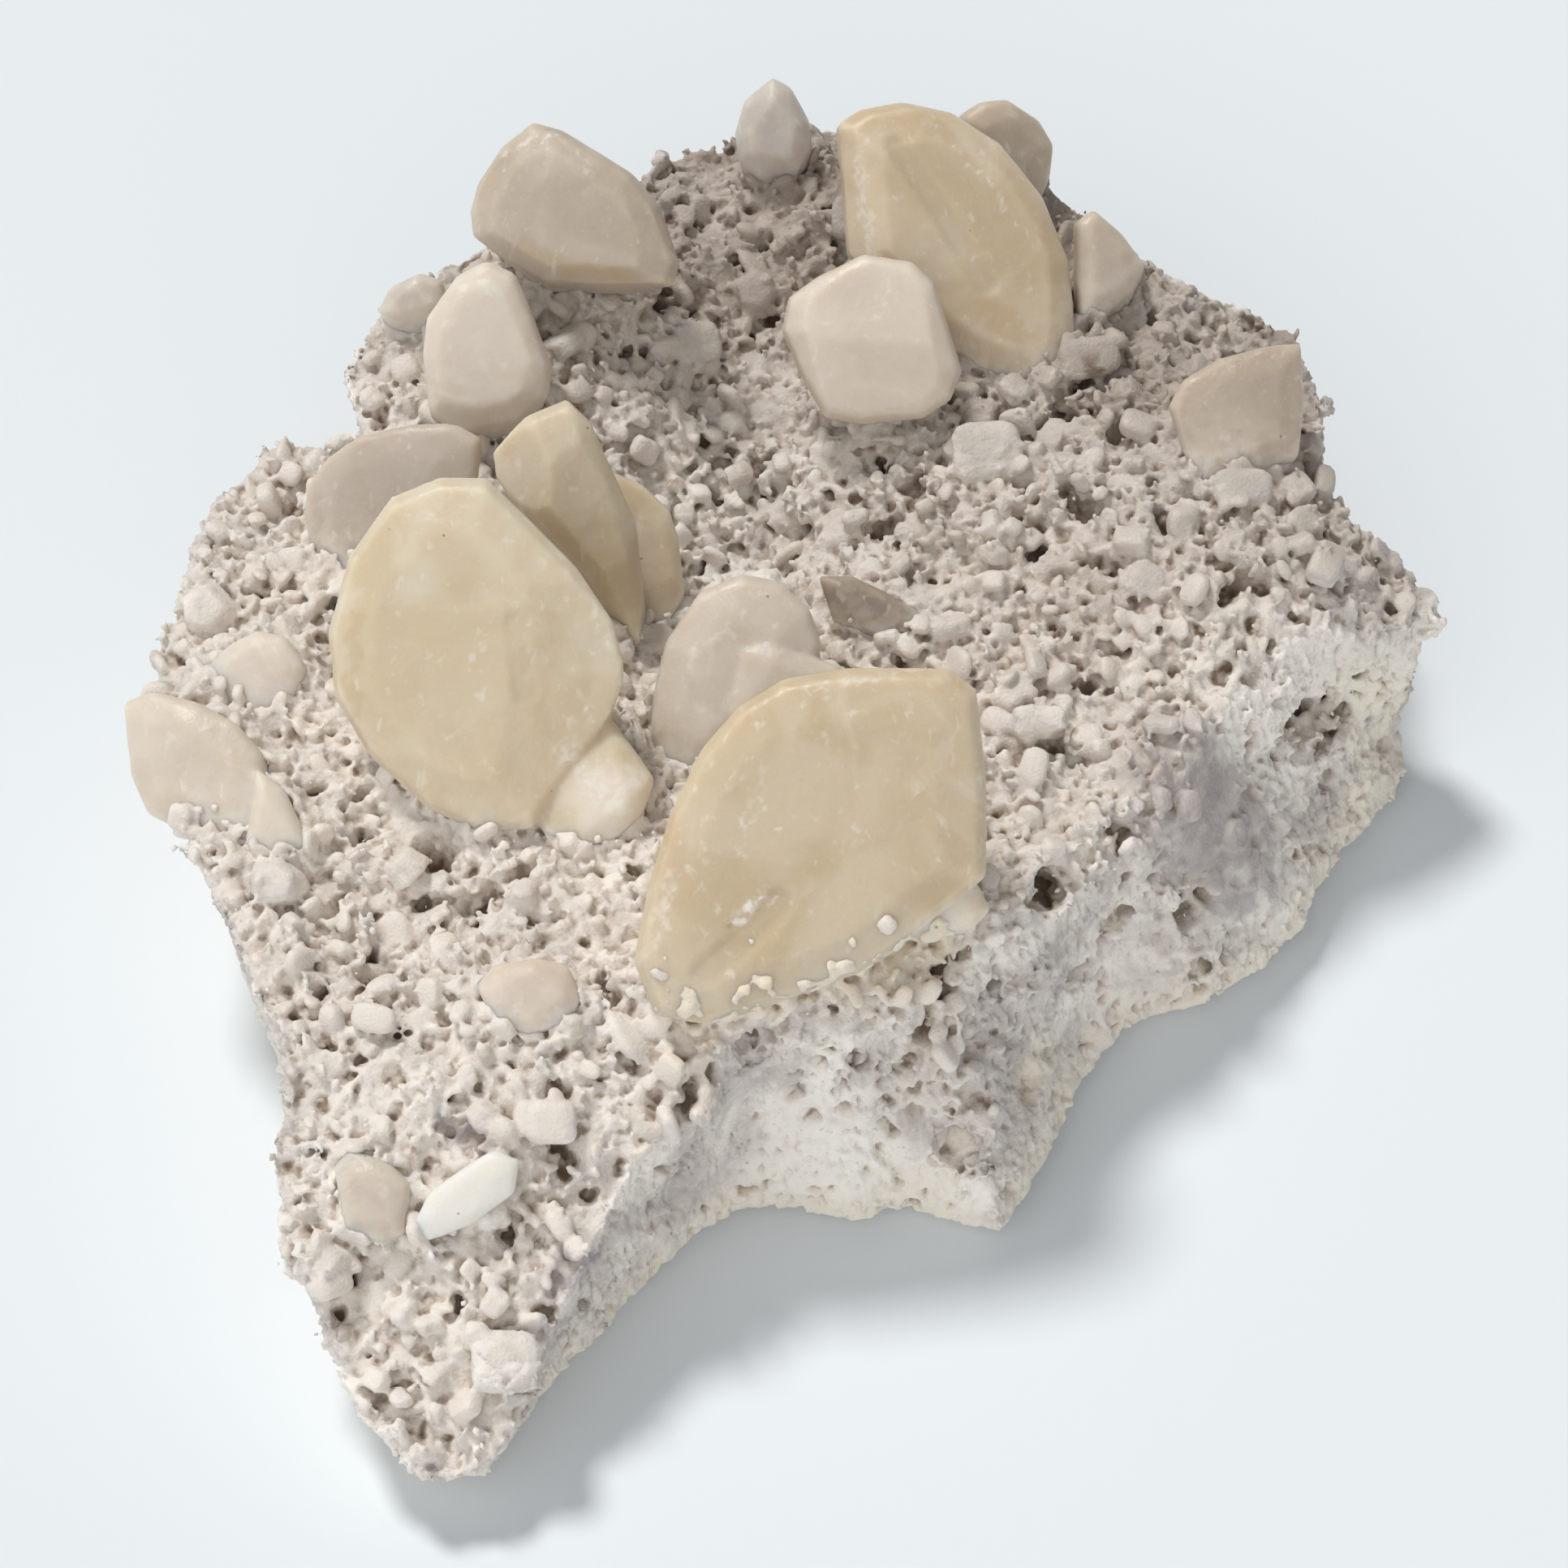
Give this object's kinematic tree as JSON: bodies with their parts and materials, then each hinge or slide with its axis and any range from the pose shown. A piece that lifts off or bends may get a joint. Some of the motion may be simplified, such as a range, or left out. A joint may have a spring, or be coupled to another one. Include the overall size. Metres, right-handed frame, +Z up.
{
  "type": "calcite crystal specimen",
  "caption": "Natural cluster of pale yellow calcite crystals standing on a crusted rock plate that rests flat on its underside.",
  "frame": {"origin": "centre of the specimen's outline box, on the flat underside", "axes": "+X to the right as the picture shows it, +Y towards the back, +Z up"},
  "size_m": [0.1324, 0.1568, 0.051],
  "materials": {
    "matrix_rock": "rough sugary crust, matt",
    "calcite_yellow": "waxy frosted crystal, slightly translucent",
    "calcite_pale": "waxy frosted crystal, slightly translucent",
    "calcite_beige": "waxy frosted crystal, slightly translucent",
    "calcite_grey": "waxy frosted crystal, slightly translucent",
    "calcite_white": "bright cleavage face"
  },
  "bodies": {
    "root": {"matrix": "matrix_rock", "shield_crystal": "calcite_yellow", "front_crystal": "calcite_yellow", "right_crystal": "calcite_yellow", "rounded_block": "calcite_pale", "back_left_crystal": "calcite_beige", "left_crystal": "calcite_pale", "pale_disc": "calcite_pale", "narrow_crystal": "calcite_yellow", "middle_disc": "calcite_pale", "far_left_crystal": "calcite_pale", "upper_left_crystal": "calcite_pale", "right_block": "calcite_beige", "back_centre_crystal": "calcite_grey", "back_right_crystal": "calcite_beige", "side_crystal": "calcite_pale", "small_left_crystal": "calcite_grey", "low_crystal": "calcite_grey", "front_left_crystal": "calcite_pale", "arm_plate": "calcite_beige", "white_plate": "calcite_white"}
  },
  "joints": []
}
